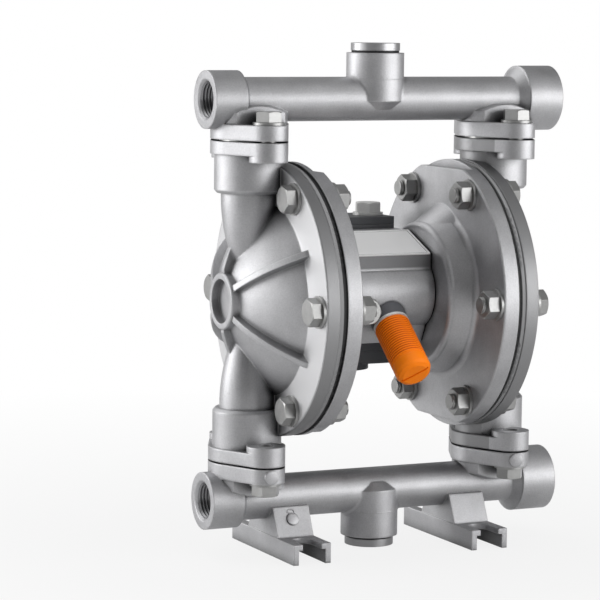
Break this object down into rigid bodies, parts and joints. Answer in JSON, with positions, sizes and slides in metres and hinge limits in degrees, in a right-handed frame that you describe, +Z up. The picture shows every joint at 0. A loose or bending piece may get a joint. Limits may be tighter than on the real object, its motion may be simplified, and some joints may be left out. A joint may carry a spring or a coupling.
{
  "type": "air-operated double diaphragm pump",
  "caption": "Air-operated double diaphragm pump in cast aluminium: bolted chambers between an upper and a lower pipe manifold, ball valves, a sliding shaft, an orange muffler and slotted feet.",
  "frame": {"origin": "midway between the two chambers, in the plane of the manifolds, at the undersides of the feet", "axes": "+X along the manifolds towards the plugged ends, +Y to the back where the air valve is, +Z up"},
  "size_m": [0.2054, 0.1458, 0.2718],
  "materials": {
    "sandblasted_casting": "sandblasted, fine grain",
    "machined_aluminium": "machined",
    "cast_plug": "sandblasted, fine grain",
    "dark_anodised_valve": "dark anodised, satin",
    "bright_steel": "bright plated",
    "ground_steel": "ground",
    "zinc_plug": "zinc plated",
    "dark_adapter": "blackened, satin",
    "bush_brass": "machined",
    "white_ptfe": "smooth, matte",
    "black_rubber": "moulded, matte",
    "gasket_sheet": "pressed fibre sheet",
    "orange_plastic": "moulded, satin, fine ribs"
  },
  "bodies": {
    "housing": {"air_cover_screws": "bright_steel", "ball_seats": "ground_steel", "body_plug": "zinc_plug", "bottom_plug": "cast_plug", "centre_body": "sandblasted_casting", "centre_gaskets": "gasket_sheet", "end_plugs": "cast_plug", "exhaust_adapter": "dark_adapter", "left_air_cover": "sandblasted_casting", "left_backing_diaphragm": "black_rubber", "left_cover_bolts": "bright_steel", "left_cover_nuts": "bright_steel", "left_cover_washers": "bright_steel", "left_fluid_cover": "sandblasted_casting", "left_ptfe_diaphragm": "white_ptfe", "lower_manifold": "sandblasted_casting", "lower_manifold_bolts": "bright_steel", "lower_manifold_washers": "bright_steel", "muffler": "orange_plastic", "muffler_washer": "bright_steel", "plug_rings": "black_rubber", "right_air_cover": "sandblasted_casting", "right_backing_diaphragm": "black_rubber", "right_cover_bolts": "bright_steel", "right_cover_nuts": "bright_steel", "right_cover_washers": "bright_steel", "right_fluid_cover": "sandblasted_casting", "right_ptfe_diaphragm": "white_ptfe", "seat_o_rings": "black_rubber", "shaft_bushes": "bush_brass", "shaft_seals": "black_rubber", "top_plug": "cast_plug", "upper_manifold": "sandblasted_casting", "upper_manifold_bolts": "bright_steel", "upper_manifold_washers": "bright_steel", "valve_block": "dark_anodised_valve", "valve_bolts": "bright_steel", "valve_bottom_cap": "dark_anodised_valve", "valve_gasket": "gasket_sheet", "valve_top_cap": "dark_anodised_valve", "valve_washers": "bright_steel"},
    "shaft_assembly": {"drive_shaft": "ground_steel", "left_inner_plate": "machined_aluminium", "right_inner_plate": "machined_aluminium", "left_outer_plate": "machined_aluminium", "right_outer_plate": "machined_aluminium", "plate_bolts": "bright_steel"},
    "upper_left_ball": {"upper_left_ball": "white_ptfe"},
    "upper_right_ball": {"upper_right_ball": "white_ptfe"},
    "lower_left_ball": {"lower_left_ball": "white_ptfe"},
    "lower_right_ball": {"lower_right_ball": "white_ptfe"},
    "valve_spool": {"valve_spool": "machined_aluminium"},
    "pilot_rod": {"pilot_rod": "ground_steel"}
  },
  "joints": [
    {"name": "shaft_slide", "type": "slide", "parent": "housing", "child": "shaft_assembly", "axis": [1, 0, 0], "range_m": [-0.006, 0.006], "deforming": ["left_backing_diaphragm", "left_ptfe_diaphragm", "right_backing_diaphragm", "right_ptfe_diaphragm"]},
    {"name": "upper_left_ball_lift", "type": "slide", "parent": "housing", "child": "upper_left_ball", "axis": [0, 0, 1], "range_m": [0, 0.0035]},
    {"name": "upper_right_ball_lift", "type": "slide", "parent": "housing", "child": "upper_right_ball", "axis": [0, 0, 1], "range_m": [0, 0.0035]},
    {"name": "lower_left_ball_lift", "type": "slide", "parent": "housing", "child": "lower_left_ball", "axis": [0, 0, 1], "range_m": [0, 0.0035]},
    {"name": "lower_right_ball_lift", "type": "slide", "parent": "housing", "child": "lower_right_ball", "axis": [0, 0, 1], "range_m": [0, 0.0035]},
    {"name": "spool_slide", "type": "slide", "parent": "housing", "child": "valve_spool", "axis": [0, 0, 1], "range_m": [0, 0.01]},
    {"name": "pilot_slide", "type": "slide", "parent": "housing", "child": "pilot_rod", "axis": [1, 0, 0], "range_m": [-0.002, 0.002]}
  ],
  "couplings": [
    {"joint": "pilot_slide", "follows": "shaft_slide", "ratio": 0.33333}
  ]
}
